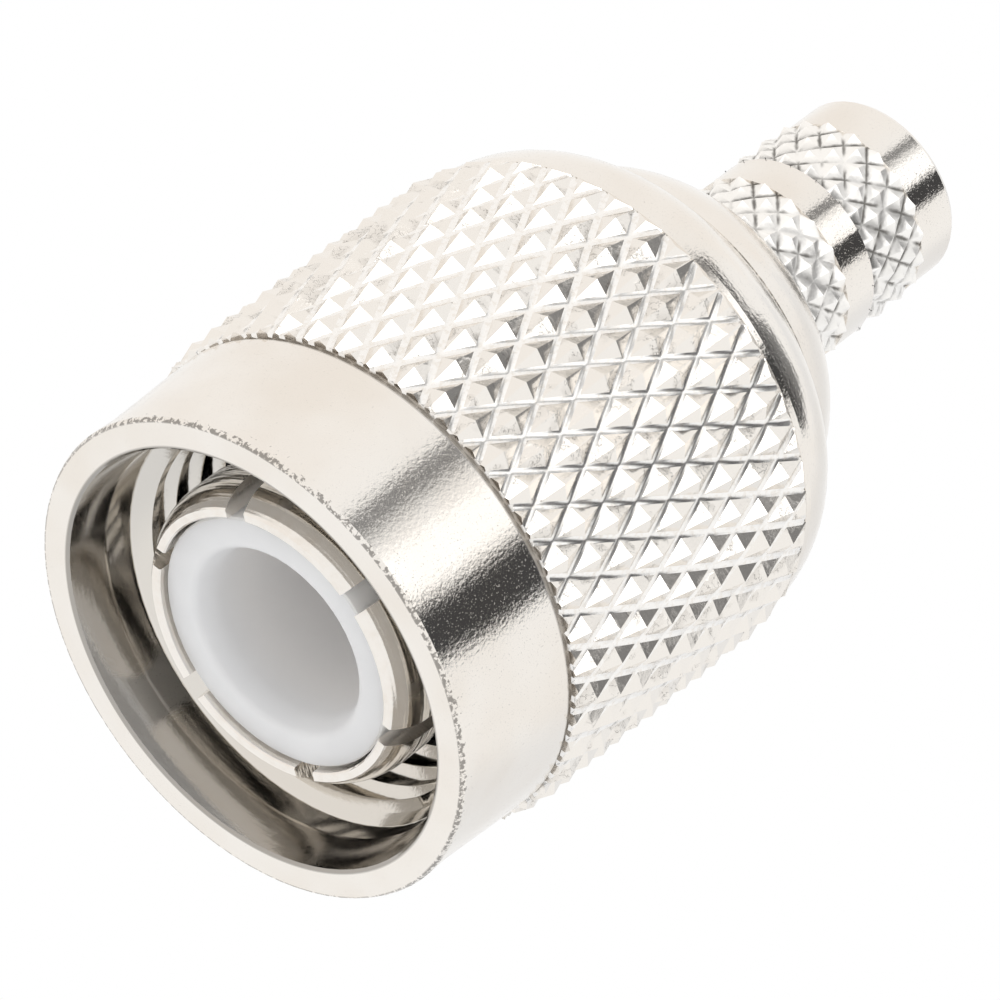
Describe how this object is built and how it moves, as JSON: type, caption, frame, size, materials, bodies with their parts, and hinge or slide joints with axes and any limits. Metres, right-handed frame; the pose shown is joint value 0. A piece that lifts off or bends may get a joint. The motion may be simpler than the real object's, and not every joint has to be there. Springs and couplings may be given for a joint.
{
  "type": "tnc crimp plug",
  "caption": "Coaxial cable plug with a diamond-knurled threaded coupling nut, a slotted spring contact around a white insulator, and a hollow knurled crimp post.",
  "frame": {"origin": "centre of the coupling nut's front rim, the plane of the mating end", "axes": "+Z along the plug's axis, from the mating end towards the cable end; the plug stands on its nut's rim"},
  "size_m": [0.014, 0.014, 0.0245],
  "materials": {
    "nut_plating": "bright nickel plate on brass, polished",
    "body_plating": "bright nickel plate on brass, polished",
    "contact_plating": "bright plate with fine turning lines",
    "dielectric": "matte white fluoropolymer",
    "seal": "matte rubber, dark grey",
    "ring_metal": "plain spring bronze"
  },
  "bodies": {
    "body": {"connector_body": "body_plating", "crimp_sleeve": "body_plating", "outer_contact": "contact_plating", "insulator": "dielectric", "gasket": "seal"},
    "ring": {"retaining_ring": "ring_metal"},
    "nut": {"coupling_nut": "nut_plating"}
  },
  "joints": [
    {"name": "nut_float", "type": "slide", "parent": "body", "child": "ring", "axis": [0, 0, -1], "range_m": [0, 0.0003]},
    {"name": "nut_spin", "type": "hinge", "parent": "ring", "child": "nut", "pos_m": [0, 0, 0.012], "axis": [0, 0, 1], "continuous": true}
  ]
}
